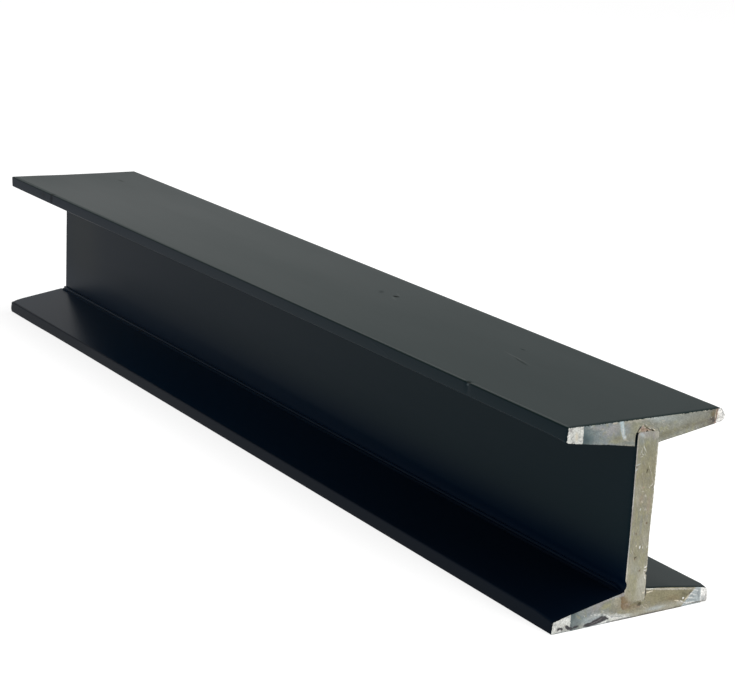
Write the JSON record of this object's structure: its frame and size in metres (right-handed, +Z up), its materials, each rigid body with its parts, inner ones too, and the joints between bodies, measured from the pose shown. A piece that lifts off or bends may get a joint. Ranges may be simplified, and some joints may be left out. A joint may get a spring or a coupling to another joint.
{
  "type": "steel i-beam",
  "caption": "Short length of built-up steel I-beam: a flat web plate let into round-bottomed grooves in two tapered flange bars, painted black with bare sawn ends.",
  "frame": {"origin": "middle of the underside of the bottom flange, halfway along the beam", "axes": "+X along the beam, +Y across the flanges, +Z up through the web"},
  "size_m": [0.66, 0.0966, 0.1016],
  "materials": {
    "painted_steel": "satin black paint on the long faces, bare sawn steel on the two ends",
    "weld_metal": "rough weld metal with brown rust"
  },
  "bodies": {
    "root": {"top_flange": "painted_steel", "bottom_flange": "painted_steel", "web_plate": "painted_steel", "top_root_weld": "weld_metal", "bottom_root_weld": "weld_metal"}
  },
  "joints": []
}
